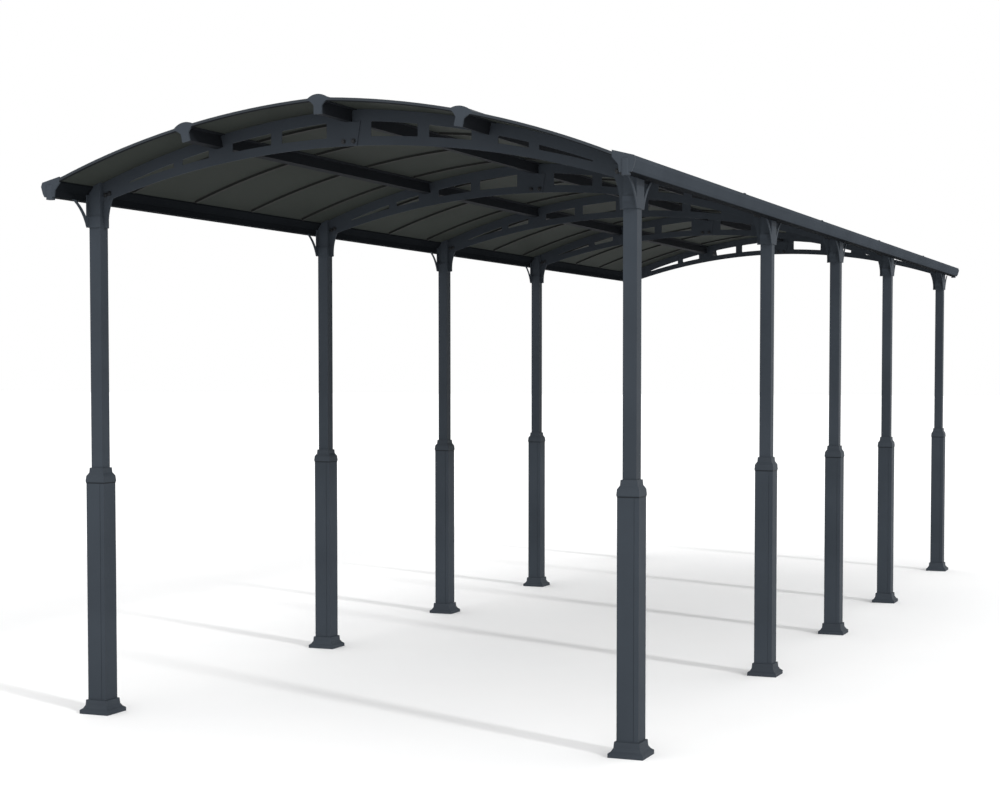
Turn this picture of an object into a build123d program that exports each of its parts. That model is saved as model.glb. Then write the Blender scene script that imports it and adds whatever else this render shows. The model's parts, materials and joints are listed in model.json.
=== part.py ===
"""A long carport with an arched roof: two rows of square posts, plate trusses across them, two gutters,
three purlins and dark roof sheets in strips. Millimetres, +X across, +Y along the length, +Z up.
The origin is on the ground, at the middle of the footprint."""

import os
from math import acos, cos, degrees, radians, sin, sqrt

from build123d import *

# Layout of the frame
sheet_pitch = 718.0
bay_counts = (4, 3, 3, 4)
gutter_lengths_count = 5
post_spacing = 3332.0

# Roof arc: each half is an arc of the sheets' top face, and the two meet in a slight crest
ridge_height = 3515.0
roof_radius = 5100.0
ridge_offset = 235.0
sheet_thickness = 8.0
sheet_drip = 14.0
seat_gap = 0.4

# Posts
post_side = 77.0
post_wall = 3.0

# Sleeve round the lower half of each post
sleeve_side = 122.0
sleeve_wall = 6.0
sleeve_top = 1377.0
seam_offset = 34.0
seam_width = 3.0
seam_depth = 2.0

# Collar on top of the sleeve, from its top edge down
collar_neck_wall = 8.0
collar_neck_height = 29.0
collar_neck_flare = 2.0
collar_slope_height = 20.0
collar_skirt_height = 31.0
collar_skirt_stand = 3.5
collar_lip_height = 14.0
collar_lap = 0.5

# Foot under the sleeve, from the ground up
foot_toe = 25.0
foot_hollow_share = 0.4
foot_rim = 22.0
foot_flare_height = 28.0
foot_neck_height = 32.0
foot_neck_wall = 9.5
foot_neck_flare = 2.5
foot_floor = 20.0
fit_gap = 0.3

# Head bracket round the top of each post
head_depth = 154.0
ring_wall = 8.0
ring_lip = 3.0
ring_height = 66.0
fan_plate = 6.0
fan_stem = 62.0
fan_reach = 200.0
fan_sag = 25.0
prong_width = 28.0
gusset_foot = 31.0
gusset_reach = 62.0
gusset_bow = 11.0
tab_height = 74.0

# Gutter section: runs outward from the post's outer face, and rises from the gutter's floor
gutter_overlap = 26.5
gutter_slope_run = 34.0
gutter_slope_drop = 41.0
gutter_lip = 9.0
gutter_wall_lean = 4.0
gutter_wall_height = 39.0
gutter_floor_width = 64.0
gutter_haunch_run = 10.0
gutter_haunch_rise = 18.0
gutter_belly_run = 12.0
gutter_belly_rise = 42.0
gutter_brow_run = 8.0
gutter_brow_rise = 23.0
gutter_wall = 3.0
gutter_joint_gap = 0.8

# Gutter ends
cap_thickness = 12.0
cap_margin = 1.0
cap_crest = 15.0
outlet_width = 42.0
outlet_drop = 15.0
outlet_length = 44.0
outlet_stand = 6.0
outlet_round = 12.0
outlet_wall = 4.0
outlet_head = 14.0

# Purlins and their covers
purlin_share = 0.507
purlin_box_width = 42.0
purlin_depth = 80.0
purlin_wall = 3.0
purlin_flange_width = 100.0
purlin_flange = 4.0
purlin_web = 8.0
web_gap = 1.5
cover_width = 130.0
cover_rise = 22.0
cover_wall = 4.0
end_cap_margin = 3.0
end_cap_shoulder = 18.0
end_cap_neck = 18.0
end_cap_neck_width = 82.0

# Trusses: two lapped plates each
truss_plate = 6.0
truss_crown_depth = 214.0
truss_end_depth = 114.0
lower_chord = 50.0
upper_chord = 73.0
window_corner = 6.0
window_tip = 6.0
window_shares = ((0.084, 0.260), (0.302, 0.458), (0.554, 0.664), (0.700, 1.0))
lap_reach = 74.0
lap_rake = 22.0
notch_gap = 0.5

# Strips over the joints between sheets, and trims on the roof's two ends
joiner_width = 24.0
joiner_stand = 4.0
joiner_drop = 14.0
joiner_setback = 5.0
trim_stand = 6.0

overrun = 50.0

# Places along the length
bay_lengths = [count * sheet_pitch for count in bay_counts]
frame_length = sum(bay_lengths)
frame_rows = [sum(bay_lengths[:row]) - frame_length / 2 for row in range(len(bay_counts) + 1)]
sheet_count = sum(bay_counts) + 1
roof_length = sheet_count * sheet_pitch
seams = [index * sheet_pitch - roof_length / 2 for index in range(sheet_count + 1)]

# Places across the width
post_x = post_spacing / 2
post_inner = post_x - post_side / 2
post_outer = post_x + post_side / 2
purlin_place = purlin_share * post_x
gutter_inner = post_outer - gutter_overlap
gutter_throat = gutter_inner + gutter_slope_run
gutter_floor_inner = gutter_throat + gutter_wall_lean
gutter_floor_outer = gutter_floor_inner + gutter_floor_width
gutter_haunch = gutter_floor_outer + gutter_haunch_run
gutter_outer = gutter_haunch + gutter_belly_run
gutter_brow = gutter_outer - gutter_brow_run
sheet_edge = gutter_inner + sheet_drip

# Heights
arc_height = ridge_height - sqrt(roof_radius**2 - ridge_offset**2)
sheet_underside = sheet_thickness + seat_gap
eave_x = gutter_inner + gutter_wall
eave_height = arc_height + sqrt((roof_radius - sheet_underside) ** 2 - (eave_x + ridge_offset) ** 2)
gutter_lip_height = eave_height - gutter_lip
gutter_throat_height = gutter_lip_height - gutter_slope_drop
gutter_floor_height = gutter_throat_height - gutter_wall_height
gutter_haunch_height = gutter_floor_height + gutter_haunch_rise
gutter_belly_height = gutter_haunch_height + gutter_belly_rise
gutter_brow_height = gutter_belly_height + gutter_brow_rise
head_bottom = gutter_floor_height - head_depth
foot_height = foot_rim + foot_flare_height + foot_neck_height
purlin_bottom = ridge_height - purlin_depth

# The trusses' lower arc rises from the posts to the crown
post_height = arc_height + sqrt((roof_radius - sheet_underside) ** 2 - (post_inner + ridge_offset) ** 2)
truss_crown = ridge_height - truss_crown_depth
truss_rise = truss_crown - (post_height - truss_end_depth)
truss_radius = (post_inner**2 + truss_rise**2) / (2 * truss_rise)
truss_centre_height = truss_crown - truss_radius

os.makedirs("parts", exist_ok=True)


def across(y=0.0):
    """The plane across the carport at y, with X to the right and Z up."""
    return Plane.XZ.offset(-y)


def roof_z(x, depth=0.0):
    """Height of the right half's arc at x, that far under the sheets' top."""
    return arc_height + sqrt((roof_radius - depth) ** 2 - (x + ridge_offset) ** 2)


def truss_z(x, rise=0.0):
    """Height of the trusses' lower arc at x, that far above its edge."""
    return truss_centre_height + sqrt((truss_radius + rise) ** 2 - x**2)


def roof_angle(x):
    """Direction from the arc's centre to the sheets' top at x, in degrees from +X."""
    return degrees(acos((x + ridge_offset) / roof_radius))


def roof_band(depth, height, start_x, end_x):
    """An outline along the roof from start_x to end_x, from a depth under its top to a height over it."""
    start, sweep_angle = roof_angle(start_x), roof_angle(end_x) - roof_angle(start_x)
    centre = (-ridge_offset, arc_height)
    with BuildLine() as outline:
        low = CenterArc(centre, roof_radius - depth, start, sweep_angle)
        high = CenterArc(centre, roof_radius + height, start, sweep_angle)
        Line(low @ 0, high @ 0)
        Line(low @ 1, high @ 1)
    return outline.edges()


def purlin_plane(x, y=0.0):
    """The section plane of the purlin at x: its own Y axis stands square on the roof there."""
    tilt = radians(90 - roof_angle(x)) if x else 0.0
    return Plane(origin=(x, y, roof_z(x)), x_dir=(cos(tilt), 0, -sin(tilt)), z_dir=(0, -1, 0))


def save(piece, name):
    """Labels a finished piece and writes it."""
    piece.label = name
    export_step(piece, f"parts/{name}.step")


def save_pair(piece, left_name, right_name):
    """Writes a right-hand piece and its mirror image."""
    left = mirror(piece, about=Plane.YZ, mode=Mode.PRIVATE)
    save(left, left_name)
    save(piece, right_name)


# Posts: square tubes, cut at the top to the roof's slope and mitred under the gutter's sloping wall
def build_post(y):
    with BuildPart() as post:
        with BuildSketch():
            with Locations((post_x, y)):
                Rectangle(post_side, post_side)
                Rectangle(post_side - 2 * post_wall, post_side - 2 * post_wall, mode=Mode.SUBTRACT)
        extrude(amount=post_height)
        mitre_x = gutter_inner - seat_gap
        mitre_end = mitre_x + overrun
        inner_x = post_inner - overrun
        slope = gutter_slope_drop / gutter_slope_run
        with BuildSketch(across(y)):
            with BuildLine():
                Polyline(
                    (inner_x, roof_z(inner_x, sheet_underside)),
                    (mitre_x, roof_z(mitre_x, sheet_underside)),
                    (mitre_x, gutter_lip_height),
                    (mitre_end, gutter_lip_height - overrun * slope),
                    (mitre_end, ridge_height),
                    (inner_x, ridge_height),
                    close=True,
                )
            make_face()
        extrude(amount=post_side, both=True, mode=Mode.SUBTRACT)
    return post.part


for number, row_y in enumerate(frame_rows, start=1):
    save_pair(build_post(row_y), f"post_left_{number}", f"post_right_{number}")


# Sleeves: square casings with one upright seam on the front face and one on the rear
def build_sleeves(x):
    places = [(x, y) for y in frame_rows]
    with BuildPart() as sleeves:
        with BuildSketch(Plane.XY.offset(foot_floor)):
            with Locations(*places):
                Rectangle(sleeve_side, sleeve_side)
                Rectangle(sleeve_side - 2 * sleeve_wall, sleeve_side - 2 * sleeve_wall, mode=Mode.SUBTRACT)
        extrude(amount=sleeve_top - foot_floor)
        seam_y = (sleeve_side - seam_depth) / 2
        with BuildSketch(Plane.XY.offset(foot_floor)):
            with Locations(*places):
                with Locations((seam_offset, -seam_y), (-seam_offset, seam_y)):
                    Rectangle(seam_width, seam_depth)
        extrude(amount=sleeve_top - foot_floor, mode=Mode.SUBTRACT)
    return sleeves.part


save(build_sleeves(-post_x), "left_post_sleeves")
save(build_sleeves(post_x), "right_post_sleeves")


def stacked_square(y, levels):
    """A solid of square section whose side follows (height, side) levels, at the right post of a row."""
    with BuildPart() as stack:
        for plane, centre in ((across(y), post_x), (Plane.YZ.offset(post_x), y)):
            outline = [(centre + side / 2, z) for z, side in levels]
            outline += [(centre - side / 2, z) for z, side in reversed(levels)]
            with BuildSketch(plane):
                with BuildLine():
                    Polyline(*outline, close=True)
                make_face()
            mode = Mode.ADD if plane.z_dir.Y else Mode.INTERSECT
            extrude(amount=post_spacing / 2, both=True, mode=mode)
    return stack.part


# Collars: moulded rings that close the sleeve round the post
def build_collar(y):
    neck_side = post_side + 2 * (fit_gap + collar_neck_wall)
    lip_top = sleeve_top + collar_lip_height
    skirt_top = lip_top + collar_skirt_height
    slope_top = skirt_top + collar_slope_height
    levels = [
        (sleeve_top, sleeve_side),
        (lip_top, sleeve_side + 2 * collar_skirt_stand),
        (skirt_top, sleeve_side + 2 * collar_lap),
        (slope_top, neck_side + 2 * collar_neck_flare),
        (slope_top + collar_neck_height, neck_side),
    ]
    with BuildPart() as collar:
        add(stacked_square(y, levels))
        with BuildSketch(Plane.XY.offset(sleeve_top)):
            with Locations((post_x, y)):
                Rectangle(post_side + 2 * fit_gap, post_side + 2 * fit_gap)
        extrude(amount=slope_top + collar_neck_height - sleeve_top, mode=Mode.SUBTRACT)
    return collar.part


# Feet: flared bases, with a socket for the sleeve and a square hole for the post
def build_foot(y):
    neck_side = sleeve_side + 2 * (fit_gap + foot_neck_wall)
    flare_side = neck_side + 2 * foot_neck_flare
    levels = [
        (0.0, flare_side + 2 * foot_toe),
        (foot_rim, flare_side + 2 * foot_toe),
        (foot_rim + foot_hollow_share * foot_flare_height, flare_side + 2 * foot_hollow_share * foot_toe),
        (foot_rim + foot_flare_height, flare_side),
        (foot_height, neck_side),
    ]
    with BuildPart() as foot:
        add(stacked_square(y, levels))
        with BuildSketch(Plane.XY.offset(foot_floor)):
            with Locations((post_x, y)):
                Rectangle(sleeve_side + 2 * fit_gap, sleeve_side + 2 * fit_gap)
        extrude(amount=foot_height, mode=Mode.SUBTRACT)
        with BuildSketch():
            with Locations((post_x, y)):
                Rectangle(post_side + 2 * fit_gap, post_side + 2 * fit_gap)
        extrude(amount=foot_floor, mode=Mode.SUBTRACT)
    return foot.part


# Head brackets: a square ring, a fan up to the gutter on its outer side, and a gusset in to the truss
def prong_outline(y, side):
    """One bowed prong of the fan, along the gutter, from the ring's bottom to the gutter's floor."""
    foot_y, tip_y = fan_stem, fan_reach
    middle = ((foot_y + tip_y) / 2 - fan_sag, (head_bottom + gutter_floor_height) / 2)
    free_edge = [(foot_y, head_bottom), middle, (tip_y, gutter_floor_height)]
    with BuildLine() as outline:
        outer = ThreePointArc(*[(y + side * reach, z) for reach, z in free_edge])
        inner = ThreePointArc(*[(y + side * (reach - prong_width), z) for reach, z in free_edge])
        Line(outer @ 0, inner @ 0)
        Line(outer @ 1, inner @ 1)
    return outline.edges()


def gusset_outline():
    """A gusset between the post's inner face and the truss's lower edge, with a hollow free edge."""
    top_x = post_inner - gusset_reach
    seat = truss_radius - seat_gap
    start, end = degrees(acos(post_inner / seat)), degrees(acos(top_x / seat))
    foot = (post_inner - gusset_foot, head_bottom)
    with BuildLine() as outline:
        top = CenterArc((0, truss_centre_height), seat, start, end - start)
        edge_mid = (Vector(*foot) + (top @ 1)) / 2
        ThreePointArc(foot, edge_mid + Vector(gusset_bow, 0), top @ 1)
        Polyline(top @ 0, (post_inner, head_bottom), foot)
    return outline.edges()


def tab_outline():
    """A tab that rises from the gusset, flat against the end of the truss plate."""
    near, far = post_inner, post_inner - gusset_reach
    with BuildLine() as outline:
        Polyline(
            (near, truss_z(near) - seat_gap),
            (near, truss_z(near) + tab_height),
            (far, truss_z(far) + tab_height),
            (far, truss_z(far) - seat_gap),
            close=True,
        )
    return outline.edges()


def build_head(y, layer):
    """The right-hand bracket of a row; its tab lies on the free side of a truss plate in that layer."""
    hole_side = post_side + 2 * fit_gap
    ring_x = post_x + (fan_plate - ring_lip) / 2
    stem_height = gutter_throat_height - seat_gap - head_bottom
    with BuildPart() as head:
        with BuildSketch(Plane.XY.offset(head_bottom)):
            with Locations((ring_x, y)):
                Rectangle(hole_side + fan_plate + ring_lip, hole_side + 2 * ring_wall)
        extrude(amount=ring_height)
        with BuildSketch(Plane.YZ.offset(post_outer + fit_gap + fan_plate / 2)):
            with Locations((y, head_bottom + stem_height / 2)):
                Rectangle(2 * fan_stem, stem_height)
            for side in (-1, 1):
                make_face(prong_outline(y, side))
        extrude(amount=fan_plate / 2, both=True)
        with BuildSketch(across(y)):
            make_face(gusset_outline())
        extrude(amount=truss_plate, both=True)
        with BuildSketch(across(y - layer * truss_plate / 2)):
            make_face(tab_outline())
        extrude(amount=truss_plate / 2, both=True)
        with BuildSketch(Plane.XY.offset(head_bottom)):
            with Locations((post_x, y)):
                Rectangle(hole_side, hole_side)
        extrude(amount=post_height - head_bottom, mode=Mode.SUBTRACT)
    return head.part


def mirrored(pieces):
    """Mirror images of right-hand pieces, for the left side."""
    return [mirror(piece, about=Plane.YZ, mode=Mode.PRIVATE) for piece in pieces]


def save_rows(right_pieces, left_pieces, name):
    """Writes a piece for every right post, and mirror images of others for the left posts."""
    save(Compound(children=right_pieces), f"right_{name}")
    save(Compound(children=mirrored(left_pieces)), f"left_{name}")


collars = [build_collar(y) for y in frame_rows]
feet = [build_foot(y) for y in frame_rows]
save_rows(collars, collars, "post_collars")
save_rows(feet, feet, "post_feet")
save_rows([build_head(y, 1) for y in frame_rows], [build_head(y, -1) for y in frame_rows], "head_brackets")


# Gutters: open troughs outside the posts, in butted lengths
def build_gutter():
    length = roof_length / gutter_lengths_count
    with BuildPart() as gutter:
        with BuildSketch(across()):
            with BuildLine():
                Polyline(
                    (gutter_inner, eave_height),
                    (gutter_inner, gutter_lip_height),
                    (gutter_throat, gutter_throat_height),
                    (gutter_floor_inner, gutter_floor_height),
                    (gutter_floor_outer, gutter_floor_height),
                    (gutter_haunch, gutter_haunch_height),
                    (gutter_outer, gutter_belly_height),
                    (gutter_brow, gutter_brow_height),
                )
                offset(amount=-gutter_wall, side=Side.LEFT)
            make_face()
        extrude(amount=roof_length / 2, both=True)
        for joint in range(1, gutter_lengths_count):
            with BuildSketch(across(joint * length - roof_length / 2)):
                with Locations((gutter_outer, gutter_belly_height)):
                    Rectangle(post_spacing, post_spacing)
            extrude(amount=gutter_joint_gap / 2, both=True, mode=Mode.SUBTRACT)
    return gutter.part


save_pair(build_gutter(), "left_gutter", "right_gutter")


# Gutter ends: plates with a rounded rain outlet that runs down the face
def build_gutter_cap(end):
    plate_y = end * (roof_length + cap_thickness) / 2
    outlet_y = end * (roof_length / 2 + cap_thickness + outlet_stand - outlet_length / 2)
    outlet_x = gutter_floor_inner + gutter_floor_width / 2
    outlet_bottom = gutter_floor_height - outlet_drop
    crest = roof_z(gutter_inner) + cap_crest
    with BuildPart() as cap:
        with BuildSketch(Plane.XY.offset(outlet_bottom)):
            with Locations((outlet_x, outlet_y)):
                RectangleRounded(outlet_width, outlet_length, outlet_round)
        extrude(amount=gutter_brow_height - outlet_head - outlet_bottom)
        with BuildSketch(Plane.XY.offset(gutter_floor_height)):
            with Locations((outlet_x, end * (roof_length - outlet_length) / 2)):
                Rectangle(outlet_width, outlet_length)
        extrude(amount=gutter_brow_height - gutter_floor_height, mode=Mode.SUBTRACT)
        with BuildSketch(across(plate_y)):
            with BuildLine():
                Polyline(
                    (gutter_inner - cap_margin, crest),
                    (gutter_brow + cap_margin, gutter_brow_height + cap_margin),
                    (gutter_outer + cap_margin, gutter_belly_height),
                    (gutter_haunch + cap_margin, gutter_haunch_height),
                    (gutter_floor_outer + cap_margin, gutter_floor_height),
                    (gutter_floor_inner - cap_margin, gutter_floor_height),
                    (gutter_throat - cap_margin, gutter_throat_height),
                    (gutter_inner - cap_margin, gutter_lip_height),
                    close=True,
                )
            make_face()
        extrude(amount=cap_thickness / 2, both=True)
        with BuildSketch(Plane.XY.offset(outlet_bottom)):
            with Locations((outlet_x, end * (roof_length / 2 - outlet_length / 4))):
                Rectangle(outlet_width - 2 * outlet_wall, outlet_length / 2 - 2 * outlet_wall)
        extrude(amount=outlet_drop, mode=Mode.SUBTRACT)
    return cap.part


for end, end_name in ((-1, "front"), (1, "rear")):
    right_cap = build_gutter_cap(end)
    left_cap = mirror(right_cap, about=Plane.YZ, mode=Mode.PRIVATE)
    save(Compound(children=[left_cap, right_cap]), f"{end_name}_gutter_caps")


# Purlins: a hollow box under the sheets, a flange that they lie on and a web between them
def edge_fall(x, reach):
    """How far the sheets fall away from the tangent plane of the purlin at x, at that reach to each side."""
    if x:
        return roof_radius - sqrt(roof_radius**2 - reach**2)
    return ridge_height - roof_z(reach)


def purlin_section(x, margin=0.0):
    """The purlin's outline, with a margin all round; the sheets' top is at zero height."""
    half_flange = purlin_flange_width / 2 + margin
    flange_top = margin - sheet_underside - edge_fall(x, half_flange)
    flange_bottom = flange_top - purlin_flange - 2 * margin
    half_box = purlin_box_width / 2 + margin
    with BuildLine() as outline:
        Polyline(
            (0, margin - sheet_underside),
            (-half_flange, flange_top),
            (-half_flange, flange_bottom),
            (-half_box, flange_bottom),
            (-half_box, -purlin_depth),
            (half_box, -purlin_depth),
            (half_box, flange_bottom),
            (half_flange, flange_bottom),
            (half_flange, flange_top),
            close=True,
        )
    return outline.edges()


def build_purlin(x):
    with BuildPart() as purlin:
        with BuildSketch(purlin_plane(x)):
            make_face(purlin_section(x))
            web_top = cover_rise - cover_wall - seat_gap
            web_bottom = -sheet_underside - purlin_flange
            with Locations((0, (web_top + web_bottom) / 2)):
                Rectangle(purlin_web, web_top - web_bottom)
            bore_top = -sheet_underside - edge_fall(x, purlin_flange_width / 2) - purlin_flange
            bore_bottom = purlin_wall - purlin_depth
            with Locations((0, (bore_top + bore_bottom) / 2)):
                Rectangle(purlin_box_width - 2 * purlin_wall, bore_top - bore_bottom, mode=Mode.SUBTRACT)
        extrude(amount=roof_length / 2, both=True)
    return purlin.part


def cover_lip(x):
    """Height of a cover's edge over the tangent plane at its purlin, just clear of the sheets."""
    return seat_gap - edge_fall(x, cover_width / 2)


def build_cover(x):
    half, lip = cover_width / 2, cover_lip(x)
    with BuildPart() as cover:
        with BuildSketch(purlin_plane(x)):
            with BuildLine():
                top = ThreePointArc((-half, lip), (0, cover_rise), (half, lip))
                inner = half - cover_wall
                under = ThreePointArc((-inner, lip), (0, cover_rise - cover_wall), (inner, lip))
                Line(top @ 0, under @ 0)
                Line(top @ 1, under @ 1)
            make_face()
        extrude(amount=roof_length / 2, both=True)
    return cover.part


def purlin_cap_outline(x, margin=0.0):
    """The outline of a purlin's end cap: a dome on the cover and a stem on the box."""
    half = cover_width / 2 + end_cap_margin + margin
    stem = purlin_box_width / 2 + end_cap_margin + margin
    neck = end_cap_neck_width / 2 + margin
    stem_top = -end_cap_shoulder - end_cap_neck
    stem_bottom = -purlin_depth - end_cap_margin - margin
    with BuildLine() as outline:
        crown = cover_rise + end_cap_margin + margin
        dome = ThreePointArc((-half, cover_lip(x)), (0, crown), (half, cover_lip(x)))
        Polyline(
            dome @ 1,
            (neck, -end_cap_shoulder),
            (stem, stem_top),
            (stem, stem_bottom),
            (-stem, stem_bottom),
            (-stem, stem_top),
            (-neck, -end_cap_shoulder),
            dome @ 0,
        )
    return outline.edges()


def build_purlin_cap(x, end):
    with BuildPart() as cap:
        with BuildSketch(purlin_plane(x, end * (roof_length + cap_thickness) / 2)):
            make_face(purlin_cap_outline(x))
        extrude(amount=cap_thickness / 2, both=True)
    return cap.part


save(build_purlin(0.0), "ridge_purlin")
save_pair(build_purlin(purlin_place), "left_purlin", "right_purlin")
save(build_cover(0.0), "ridge_cover")
save_pair(build_cover(purlin_place), "left_purlin_cover", "right_purlin_cover")
for end, end_name in ((-1, "front"), (1, "rear")):
    side_cap = build_purlin_cap(purlin_place, end)
    caps = [mirror(side_cap, about=Plane.YZ, mode=Mode.PRIVATE), build_purlin_cap(0.0, end), side_cap]
    save(Compound(children=caps), f"{end_name}_purlin_caps")


# Trusses: arched plates with windows between their chords, lapped and bolted at the ridge
def window_height(x):
    """Clear height between the two chords at x."""
    return roof_z(x, upper_chord) - truss_z(x, lower_chord)


def window_limit():
    """Where the chords close in to the smallest clear height, or the post's face if they stay apart."""
    near, far = 0.0, post_inner - lower_chord
    while window_height(far) < window_tip and far - near > window_tip * seat_gap:
        middle = (near + far) / 2
        near, far = (middle, far) if window_height(middle) > window_tip else (near, middle)
    return near if window_height(far) < window_tip else far


def window_outline(start_x, end_x):
    """A window between the two chords, from start_x to end_x, closed by upright bars."""
    mid_x = (start_x + end_x) / 2
    with BuildLine() as outline:
        floor = ThreePointArc(*[(x, truss_z(x, lower_chord)) for x in (start_x, mid_x, end_x)])
        head = ThreePointArc(*[(x, roof_z(x, upper_chord)) for x in (start_x, mid_x, end_x)])
        Line(floor @ 0, head @ 0)
        Line(floor @ 1, head @ 1)
    return outline.edges()


def build_truss_half(y, layer):
    """The right-hand plate of a truss; layer is +1 for the rear side of the lap and -1 for the front."""
    root = purlin_box_width / 2 + notch_gap
    mid_x = (root + post_inner) / 2
    limit = window_limit()
    plane_y = y + layer * truss_plate / 2
    with BuildPart() as half:
        with BuildSketch(across(plane_y)):
            with BuildLine():
                lap_foot = lap_rake - lap_reach
                lower = ThreePointArc(*[(x, truss_z(x)) for x in (lap_foot, mid_x, post_inner)])
                upper = ThreePointArc(*[(x, roof_z(x, sheet_underside)) for x in (root, mid_x, post_inner)])
                Line(lower @ 1, upper @ 1)
                Polyline(upper @ 0, (root, purlin_bottom), (-lap_reach, purlin_bottom), lower @ 0)
            make_face()
        extrude(amount=truss_plate / 2, both=True)
        for start_share, end_share in window_shares:
            with BuildSketch(across(plane_y)):
                window = make_face(window_outline(start_share * post_inner, min(end_share * post_inner, limit)))
                roomy = window_height(end_share * post_inner) > 2 * window_corner + window_tip
                if roomy:
                    fillet(window.vertices(), window_corner)
            extrude(amount=truss_plate, both=True, mode=Mode.SUBTRACT)
        for purlin_x in (0.0, purlin_place):
            with BuildSketch(purlin_plane(purlin_x, plane_y)):
                make_face(purlin_section(purlin_x, notch_gap))
            extrude(amount=truss_plate, both=True, mode=Mode.SUBTRACT)
    return half.part


for number, row_y in enumerate(frame_rows, start=1):
    front_half = mirror(build_truss_half(row_y, -1), about=Plane.YZ, mode=Mode.PRIVATE)
    save(front_half, f"truss_{number}_left")
    save(build_truss_half(row_y, 1), f"truss_{number}_right")


# Roof sheets, the strips between them and the trims on the two ends
web_reach = purlin_web / 2 + web_gap
cover_reach = cover_width / 2 + joiner_setback
ridge_sheet_span = (web_reach, purlin_place - web_reach)
eave_sheet_span = (purlin_place + web_reach, sheet_edge)
bar_spans = ((cover_reach, purlin_place - cover_reach), (purlin_place + cover_reach, gutter_inner - sheet_drip))
joint = joiner_width / 2 + fit_gap


def band_between(start_y, end_y, depth, height, span):
    """A bent slab of the roof between two places along the length."""
    with BuildPart() as slab:
        with BuildSketch(across((start_y + end_y) / 2)):
            make_face(roof_band(depth, height, *span))
        extrude(amount=(end_y - start_y) / 2, both=True)
    return slab.part


def build_sheets(span):
    sheets = []
    for index in range(sheet_count):
        start_y = seams[index] + (joint if index else 0.0)
        end_y = seams[index + 1] - (joint if index + 1 < sheet_count else 0.0)
        sheets.append(band_between(start_y, end_y, sheet_thickness, 0.0, span))
    return sheets


def build_joiners():
    half = joiner_width / 2
    depth = sheet_thickness + joiner_drop
    joints = [(y - half, y + half) for y in seams[1:-1]]
    return [band_between(*ends, depth, joiner_stand, span) for span in bar_spans for ends in joints]


def build_trims(end):
    """The right half's two trims on one end of the roof, fitted between the purlins' and gutters' end caps."""
    trims = []
    depth = sheet_thickness + trim_stand
    middle_y = end * (roof_length + cap_thickness) / 2
    for start_x, end_x in ((web_reach, purlin_place), (purlin_place, sheet_edge)):
        with BuildPart() as trim:
            with BuildSketch(across(middle_y)):
                make_face(roof_band(depth, trim_stand, start_x, end_x))
            extrude(amount=cap_thickness / 2, both=True)
            for purlin_x in (0.0, purlin_place):
                with BuildSketch(purlin_plane(purlin_x, middle_y)):
                    make_face(purlin_cap_outline(purlin_x, fit_gap))
                extrude(amount=cap_thickness, both=True, mode=Mode.SUBTRACT)
            split(bisect_by=Plane.YZ.offset(gutter_inner - cap_margin - fit_gap), keep=Keep.BOTTOM)
        trims.append(trim.part)
    return trims


def save_group(pieces, name):
    save(Compound(children=pieces), name)


save_group(build_sheets(ridge_sheet_span), "right_ridge_sheets")
save_group(mirrored(build_sheets(ridge_sheet_span)), "left_ridge_sheets")
save_group(build_sheets(eave_sheet_span), "right_eave_sheets")
save_group(mirrored(build_sheets(eave_sheet_span)), "left_eave_sheets")
save_group(build_joiners(), "right_sheet_joiners")
save_group(mirrored(build_joiners()), "left_sheet_joiners")
for end, end_name in ((-1, "front"), (1, "rear")):
    save_group(build_trims(end) + mirrored(build_trims(end)), f"{end_name}_edge_trims")
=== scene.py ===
"""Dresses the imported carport: coats, roof sheets, bolts, clips and seals, on a pale studio floor. Metres."""

import json
from math import acos, cos, radians, sin, sqrt

import bmesh
import bpy
from mathutils import Matrix, Vector


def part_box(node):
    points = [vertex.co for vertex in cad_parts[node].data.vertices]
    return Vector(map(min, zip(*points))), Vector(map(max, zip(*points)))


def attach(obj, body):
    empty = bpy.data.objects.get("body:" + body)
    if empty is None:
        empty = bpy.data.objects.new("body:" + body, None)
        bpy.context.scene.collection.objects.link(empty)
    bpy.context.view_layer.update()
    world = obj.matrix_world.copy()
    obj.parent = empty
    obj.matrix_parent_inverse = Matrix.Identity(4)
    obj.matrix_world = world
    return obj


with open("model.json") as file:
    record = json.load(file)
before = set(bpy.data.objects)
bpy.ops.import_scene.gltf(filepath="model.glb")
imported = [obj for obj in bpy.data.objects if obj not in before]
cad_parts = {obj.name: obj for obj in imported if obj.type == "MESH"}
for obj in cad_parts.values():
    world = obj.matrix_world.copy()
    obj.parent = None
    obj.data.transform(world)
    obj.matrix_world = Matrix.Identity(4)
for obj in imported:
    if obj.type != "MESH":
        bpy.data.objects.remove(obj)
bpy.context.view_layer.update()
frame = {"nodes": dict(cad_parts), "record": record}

# Bolts, placed by x and z on the right half of each truss
row_count = 5
plate_thickness = 0.006
truss_crown = 3.301
lap_bolt_rise = 0.026
lap_bolt_place = (0.031, truss_crown + lap_bolt_rise)
end_bolt_places = ((1.611, 3.087), (1.584, 3.096))
bolt_radius = 0.0085
washer_radius = bolt_radius * 1.75
washer_top_radius = bolt_radius * 1.65
washer_height = 0.0025
washer_sides = 24
head_radius = bolt_radius * 1.25
head_height = 0.0065
head_sides = 6
crown_radius = bolt_radius * 1.2
crown_top_radius = bolt_radius * 0.95
crown_height = 0.0018

# Clips over the joints between a gutter's lengths
gutter_lengths = 5
clip_length = 0.034
clip_width = 0.011
clip_height = 0.007
clip_rounding = clip_height * 0.3
clip_inset = 0.008
clip_drop = 0.006

# Roof arc, whose centre for each half lies beyond the ridge, and its sheets
roof_radius = 5.1
ridge_offset = 0.235
ridge_height = 3.515
arc_height = ridge_height - sqrt(roof_radius**2 - ridge_offset**2)
sheet_count = 15
sheet_thickness = 0.008

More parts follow.
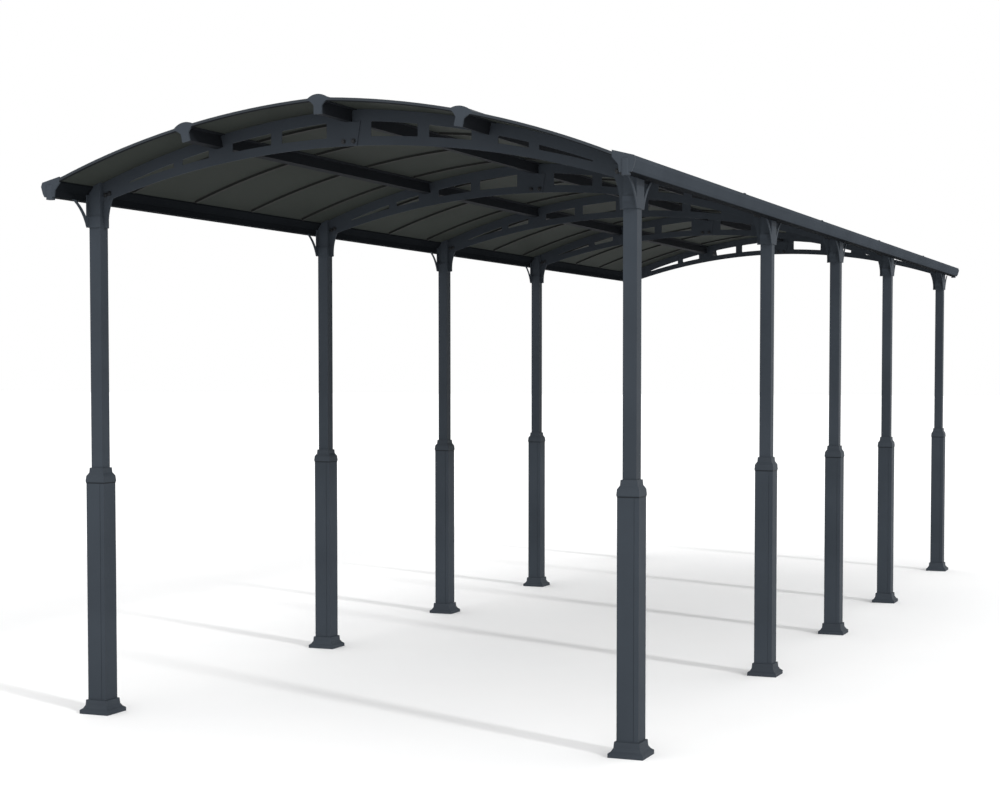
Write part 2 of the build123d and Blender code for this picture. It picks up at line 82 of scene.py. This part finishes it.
# Seals in the joints between the sheets, beside the purlin covers and over the gutters
post_place = 1.666
purlin_share = 0.507
purlin_place = purlin_share * post_place
seal_inset = 0.0004
seal_half_width = 0.012
seal_near = 0.06
seal_far = 0.0697
gutter_seal = (1.6643, 1.6915)
seal_spans = (
    (seal_near, seal_far),
    (purlin_place - seal_far, purlin_place - seal_near),
    (purlin_place + seal_near, purlin_place + seal_far),
    gutter_seal,
)

# Painted shade on the collars' lower lip, the trims' lower edge and the gutters' sheltered faces
collar_band = 0.008
collar_shade_share = 0.4
trim_band = 0.0085
trim_shade_share = 0.2
# Width of the gutters' outer face that keeps its full tone, outside the painted shade
gutter_lit_face = 0.021
gutter_shade_share = 0.19
edge_softness = 0.0015

# Relief of the materials, and the gloss skin on top of the roof sheets
peel_depth = 0.0006
grain_depth = 0.0005
flute_depth = 0.0008
blotch_depth = 0.0003
skin_gloss = 0.7
skin_roughness = 0.16

# Colours
anthracite = (0.034, 0.041, 0.05)
moulded_grey = (0.035, 0.042, 0.051)
truss_grey = (0.032, 0.038, 0.046)
gutter_grey = (0.038, 0.045, 0.054)
cover_grey = (0.028, 0.033, 0.041)
trim_grey = (0.032, 0.037, 0.043)
purlin_black = (0.0105, 0.012, 0.0145)
strip_black = (0.018, 0.0185, 0.018)
smoke = (0.028, 0.0315, 0.0285)
dark_zinc = (0.012, 0.013, 0.015)
light_zinc = (0.03, 0.032, 0.035)
floor_shade = (0.94, 0.943, 0.946)
floor_white = (0.97, 0.97, 0.97)
white = (1.0, 1.0, 1.0, 1.0)

# Studio: the floor's half size, the suns' directions and the camera fitted to the photo
floor_reach = 160.0
key_direction = (-0.828, 0.369, -0.423)
fill_direction = (-0.15, 0.93, -0.34)
camera_place = (4.731, -14.291, 2.0283)
camera_dip = 2.384
camera_turn = 22.383
camera_sight = 400.0


# Steps that the materials share
def new_material(name):
    """A material with its node tree, its one shader and the place on the object."""
    material = bpy.data.materials.new(name)
    material.use_nodes = True
    tree = material.node_tree
    tree.nodes.clear()
    shader = tree.nodes.new("ShaderNodeBsdfPrincipled")
    output = tree.nodes.new("ShaderNodeOutputMaterial")
    tree.links.new(shader.outputs["BSDF"], output.inputs["Surface"])
    coordinates = tree.nodes.new("ShaderNodeTexCoord")
    return material, tree, shader, coordinates.outputs["Object"]


def noise(tree, place, scale, detail, stretch=None):
    """Noise in metres, stretched along the axes if asked."""
    node = tree.nodes.new("ShaderNodeTexNoise")
    node.inputs["Scale"].default_value = scale
    node.inputs["Detail"].default_value = detail
    if stretch:
        mapping = tree.nodes.new("ShaderNodeMapping")
        mapping.inputs["Scale"].default_value = stretch
        tree.links.new(place, mapping.inputs["Vector"])
        place = mapping.outputs["Vector"]
    tree.links.new(place, node.inputs["Vector"])
    return node.outputs["Fac"]


def shaded(colour, share):
    """The colour, darker or lighter by a share."""
    return tuple(channel * share for channel in colour)


def ramp(tree, factor, low, high, start=0.3, stop=0.7):
    """A colour that runs from low to high with the factor."""
    node = tree.nodes.new("ShaderNodeValToRGB")
    node.color_ramp.elements[0].position = start
    node.color_ramp.elements[1].position = stop
    node.color_ramp.elements[0].color = (*low, 1.0)
    node.color_ramp.elements[1].color = (*high, 1.0)
    tree.links.new(factor, node.inputs["Fac"])
    return node.outputs["Color"]


def spread(tree, factor, low, high):
    """A number that runs from low to high with the factor."""
    node = tree.nodes.new("ShaderNodeMapRange")
    node.inputs["To Min"].default_value = low
    node.inputs["To Max"].default_value = high
    tree.links.new(factor, node.inputs["Value"])
    return node.outputs["Result"]


def bump(tree, shader, relief, strength, depth):
    """Gives the shader a fine relief."""
    node = tree.nodes.new("ShaderNodeBump")
    node.inputs["Strength"].default_value = strength
    node.inputs["Distance"].default_value = depth
    tree.links.new(relief, node.inputs["Height"])
    tree.links.new(node.outputs["Normal"], shader.inputs["Normal"])


def vector_step(tree, operation, vector, constant=(0, 0, 0)):
    """The node of one vector operation."""
    node = tree.nodes.new("ShaderNodeVectorMath")
    node.operation = operation
    node.inputs[1].default_value = constant
    tree.links.new(vector, node.inputs[0])
    return node


def height(tree, place):
    """Height over the ground."""
    return vector_step(tree, "DOT_PRODUCT", place, (0, 0, 1)).outputs["Value"]


def half_width(tree, place):
    """Distance across, from the middle."""
    folded = vector_step(tree, "ABSOLUTE", place).outputs["Vector"]
    return vector_step(tree, "DOT_PRODUCT", folded, (1, 0, 0)).outputs["Value"]


def arc_radius(tree, place):
    """Distance from the centre of the roof's arc, on either half."""
    folded = vector_step(tree, "ABSOLUTE", place).outputs["Vector"]
    flat = vector_step(tree, "MULTIPLY", folded, (1, 0, 1)).outputs["Vector"]
    moved = vector_step(tree, "ADD", flat, (ridge_offset, 0, -arc_height)).outputs["Vector"]
    return vector_step(tree, "LENGTH", moved).outputs["Value"]


def step_at(tree, place, measure, edge, low, high):
    """A number that goes from low to high where the measure passes the edge."""
    node = tree.nodes.new("ShaderNodeMapRange")
    node.inputs["From Min"].default_value = edge - edge_softness
    node.inputs["From Max"].default_value = edge + edge_softness
    node.inputs["To Min"].default_value = low
    node.inputs["To Max"].default_value = high
    tree.links.new(measure(tree, place), node.inputs["Value"])
    return node.outputs["Result"]


def painted_shade_below(tree, place, tone, measure, edge, share):
    """Painted shade: the tone, cut to a share of itself where the measure is under the edge."""
    scaled = vector_step(tree, "SCALE", tone)
    tree.links.new(step_at(tree, place, measure, edge, share, 1.0), scaled.inputs["Scale"])
    return scaled.outputs["Vector"]


# Materials
def powder_coat(name, colour, rough=0.5, gloss=0.03, painted_shade=None):
    """Satin powder coat: a faint cloudy tone, a fine orange peel and, if asked, painted shade on one side."""
    material, tree, shader, place = new_material(name)
    cloud = noise(tree, place, scale=1.7, detail=5.0)
    tone = ramp(tree, cloud, shaded(colour, 0.88), shaded(colour, 1.12))
    # Painted shade on one side, if asked
    if painted_shade:
        tone = painted_shade_below(tree, place, tone, *painted_shade)
    tree.links.new(tone, shader.inputs["Base Color"])
    wear = noise(tree, place, scale=9.0, detail=4.0)
    tree.links.new(spread(tree, wear, rough - 0.07, rough + 0.07), shader.inputs["Roughness"])
    shader.inputs["Specular IOR Level"].default_value = gloss
    peel = noise(tree, place, scale=420.0, detail=2.0)
    bump(tree, shader, peel, 0.22, peel_depth)
    return material


def moulded_plastic(name, colour, rough=0.55, painted_shade=None):
    """Moulded plastic: a faint cloudy tone, a fine grain and, if asked, painted shade on one side."""
    material, tree, shader, place = new_material(name)
    grain = noise(tree, place, scale=650.0, detail=2.0)
    cloud = noise(tree, place, scale=3.0, detail=4.0)
    tone = ramp(tree, cloud, shaded(colour, 0.9), shaded(colour, 1.1))
    # Painted shade on one side, if asked
    if painted_shade:
        tone = painted_shade_below(tree, place, tone, *painted_shade)
    tree.links.new(tone, shader.inputs["Base Color"])
    tree.links.new(spread(tree, grain, rough - 0.06, rough + 0.08), shader.inputs["Roughness"])
    shader.inputs["Specular IOR Level"].default_value = 0.05
    bump(tree, shader, grain, 0.3, grain_depth)
    return material


def smoked_sheet(name, colour):
    """Smoked twin-wall sheet: flutes that run down the slope, a cloudy tone and a gloss skin on top."""
    material, tree, shader, place = new_material(name)
    flutes = tree.nodes.new("ShaderNodeTexWave")
    flutes.bands_direction = "Y"
    flutes.inputs["Scale"].default_value = 19.0
    tree.links.new(place, flutes.inputs["Vector"])
    cloud = noise(tree, place, scale=1.1, detail=4.0, stretch=(1.0, 0.35, 1.0))
    mixed = tree.nodes.new("ShaderNodeMath")
    mixed.operation = "MULTIPLY_ADD"
    mixed.inputs[1].default_value = 0.22
    tree.links.new(flutes.outputs["Fac"], mixed.inputs[0])
    tree.links.new(cloud, mixed.inputs[2])
    tone = ramp(tree, mixed.outputs["Value"], shaded(colour, 0.82), shaded(colour, 1.2), start=0.35, stop=0.9)
    tree.links.new(tone, shader.inputs["Base Color"])
    tree.links.new(spread(tree, cloud, 0.55, 0.7), shader.inputs["Roughness"])
    shader.inputs["Specular IOR Level"].default_value = 0.01
    skin = step_at(tree, place, arc_radius, roof_radius - sheet_thickness / 2, 0.0, skin_gloss)
    tree.links.new(skin, shader.inputs["Coat Weight"])
    shader.inputs["Coat Roughness"].default_value = skin_roughness
    bump(tree, shader, flutes.outputs["Fac"], 0.12, flute_depth)
    return material


def zinc(name):
    """Dull zinc on bolts, with a blotchy tone."""
    material, tree, shader, place = new_material(name)
    blotch = noise(tree, place, scale=240.0, detail=5.0)
    tree.links.new(ramp(tree, blotch, dark_zinc, light_zinc), shader.inputs["Base Color"])
    shader.inputs["Metallic"].default_value = 0.7
    tree.links.new(spread(tree, blotch, 0.35, 0.6), shader.inputs["Roughness"])
    bump(tree, shader, blotch, 0.2, blotch_depth)
    return material


def pale_floor(name):
    """A matt floor, almost white."""
    material, tree, shader, place = new_material(name)
    speck = noise(tree, place, scale=0.6, detail=3.0)
    tree.links.new(ramp(tree, speck, floor_shade, floor_white), shader.inputs["Base Color"])
    shader.inputs["Roughness"].default_value = 0.9
    shader.inputs["Specular IOR Level"].default_value = 0.1
    return material


# Painted shade: the collars darken in their lowest band, the gutters on every face but the outer one, and the
# trims along their lower edge
collar_painted_shade = (height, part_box("right_post_collars")[0][2] + collar_band, collar_shade_share)
gutter_painted_shade = (half_width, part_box("right_gutter")[1][0] - gutter_lit_face, gutter_shade_share)
trim_painted_shade = (arc_radius, roof_radius - trim_band, trim_shade_share)
coats = {
    "frame_coat": powder_coat("frame_coat_look", anthracite),
    "sleeve_coat": powder_coat("sleeve_coat_look", anthracite, rough=0.53),
    "bracket_coat": powder_coat("bracket_coat_look", anthracite, rough=0.53),
    "truss_coat": powder_coat("truss_coat_look", truss_grey, rough=0.6),
    "gutter_coat": powder_coat("gutter_coat_look", gutter_grey, rough=0.85, gloss=0.005, painted_shade=gutter_painted_shade),
    "purlin_coat": powder_coat("purlin_coat_look", purlin_black, rough=0.7),
    "cover_coat": powder_coat("cover_coat_look", cover_grey),
    "trim_coat": powder_coat("trim_coat_look", trim_grey, rough=0.6, painted_shade=trim_painted_shade),
    "collar_plastic": moulded_plastic("collar_look", moulded_grey, painted_shade=collar_painted_shade),
    "foot_plastic": moulded_plastic("foot_look", moulded_grey),
    "cap_plastic": moulded_plastic("cap_look", moulded_grey),
    "joint_strip": moulded_plastic("joint_strip_look", strip_black, rough=0.6),
    "roof_sheet": smoked_sheet("roof_sheet_look", smoke),
}
for part in frame["record"]["subparts"]:
    for slot in frame["nodes"][part["node"]].material_slots:
        slot.material = coats[part["material_slot"]]


def finish_piece(mesh, name, material):
    """Makes the mesh a named piece of the carport."""
    data = bpy.data.meshes.new(name)
    mesh.to_mesh(data)
    mesh.free()
    data.materials.append(material)
    piece = bpy.data.objects.new(name, data)
    bpy.context.scene.collection.objects.link(piece)
    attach(piece, "root")


# Bolts at the trusses' ridge lap and ends, on both faces of the plates
def row_y(number):
    """Place of a row of posts along the length."""
    low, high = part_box(f"post_right_{number}")
    return (low[1] + high[1]) / 2


def turned(place, normal):
    """A transform that stands a piece on a face, with its axis along the normal."""
    return Matrix.Translation(place) @ Vector((0, 0, 1)).rotation_difference(normal).to_matrix().to_4x4()


def add_cone(mesh, stand, base, low, high, rise, sides):
    """A cone of that rise over the base, with its lower and its upper radius."""
    lift = Matrix.Translation((0, 0, base + rise / 2))
    bmesh.ops.create_cone(
        mesh, cap_ends=True, segments=sides, radius1=low, radius2=high, depth=rise, matrix=stand @ lift
    )


def add_bolt(mesh, place, normal):
    """A washer, a hexagon head and its crown."""
    stand = turned(Vector(place), Vector(normal))
    head_top = washer_height + head_height
    add_cone(mesh, stand, 0.0, washer_radius, washer_top_radius, washer_height, washer_sides)
    add_cone(mesh, stand, washer_height, head_radius, head_radius, head_height, head_sides)
    add_cone(mesh, stand, head_top, crown_radius, crown_top_radius, crown_height, head_sides)


bolt_look = zinc("bolt_look")
for number in range(1, row_count + 1):
    bolts = bmesh.new()
    for side in (-1, 1):
        for facing in (-1, 1):
            y = row_y(number) + facing * plate_thickness
            for x, z in (lap_bolt_place, *end_bolt_places):
                add_bolt(bolts, (side * x, y, z), (0, facing, 0))
    finish_piece(bolts, f"truss_{number}_bolts", bolt_look)


# Clips on the gutters' outer edges
def add_clip(mesh, place):
    """A folded clip over a gutter's edge, with rounded corners."""
    size = Matrix.Diagonal((clip_width, clip_length, clip_height, 1.0))
    made = bmesh.ops.create_cube(mesh, size=1.0, matrix=Matrix.Translation(place) @ size)
    edges = {edge for vertex in made["verts"] for edge in vertex.link_edges}
    bmesh.ops.bevel(mesh, geom=list(edges), offset=clip_rounding, segments=3, profile=0.5, affect="EDGES")


for side, sign in (("left", -1), ("right", 1)):
    low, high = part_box(f"{side}_gutter")
    outer_edge = low[0] if sign < 0 else high[0]
    clips = bmesh.new()
    for joint in range(1, gutter_lengths):
        y = low[1] + joint * (high[1] - low[1]) / gutter_lengths
        add_clip(clips, (outer_edge - sign * clip_inset, y, high[2] - clip_drop))
    finish_piece(clips, f"{side}_gutter_clips", coats["gutter_coat"])


# Seals that close the sheets' joints beside the purlin covers and over the gutters
def roof_point(x, depth):
    """Place on the right half's arc: x is on the sheets' top, and depth is square to it."""
    angle = acos((x + ridge_offset) / roof_radius)
    radius = roof_radius - depth
    return radius * cos(angle) - ridge_offset, arc_height + radius * sin(angle)


def add_seal(mesh, sign, span, y):
    """A bar in a joint, as thick as the sheets, from one end of the span to the other."""
    for vertex in bmesh.ops.create_cube(mesh, size=2.0)["verts"]:
        along = span[1] if vertex.co.x > 0 else span[0]
        x, z = roof_point(along, seal_inset if vertex.co.z > 0 else sheet_thickness)
        vertex.co = (sign * x, y + vertex.co.y * seal_half_width, z)


for side, sign in (("left", -1), ("right", 1)):
    low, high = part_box(f"{side}_eave_sheets")
    seals = bmesh.new()
    for joint in range(1, sheet_count):
        for span in seal_spans:
            add_seal(seals, sign, span, low[1] + joint * (high[1] - low[1]) / sheet_count)
    bmesh.ops.recalc_face_normals(seals, faces=seals.faces)
    finish_piece(seals, f"{side}_joint_seals", coats["joint_strip"])

# Floor
floor_corners = [(x * floor_reach, y * floor_reach, 0) for x, y in ((-1, -1), (1, -1), (1, 1), (-1, 1))]
floor_data = bpy.data.meshes.new("studio_floor")
floor_data.from_pydata(floor_corners, [], [(0, 1, 2, 3)])
floor_data.materials.append(pale_floor("floor_look"))
floor = bpy.data.objects.new("studio_floor", floor_data)
bpy.context.scene.collection.objects.link(floor)


# Light
def add_sun(name, energy, angle, direction):
    """A sun that shines along the direction; a wide angle makes it soft."""
    data = bpy.data.lights.new(name, "SUN")
    data.energy = energy
    data.angle = radians(angle)
    sun = bpy.data.objects.new(name, data)
    sun.rotation_euler = Vector(direction).to_track_quat("-Z", "Y").to_euler()
    bpy.context.scene.collection.objects.link(sun)


world = bpy.data.worlds.new("studio_world")
world.use_nodes = True
background = world.node_tree.nodes["Background"]
background.inputs["Color"].default_value = white
background.inputs["Strength"].default_value = 1.0
bpy.context.scene.world = world
add_sun("key_sun", energy=1.4, angle=4, direction=key_direction)
add_sun("front_fill", energy=1.1, angle=60, direction=fill_direction)

# Camera
camera_data = bpy.data.cameras.new("camera")
camera_data.sensor_width = 36.0
camera_data.lens = 66.394
camera_data.shift_x = -0.0004
camera_data.shift_y = 0.05087
camera_data.clip_end = camera_sight
camera = bpy.data.objects.new("camera", camera_data)
camera.location = camera_place
camera.rotation_euler = (radians(90 - camera_dip), 0.0, radians(camera_turn))
bpy.context.scene.collection.objects.link(camera)
bpy.context.scene.camera = camera
bpy.context.scene.view_settings.view_transform = "Standard"
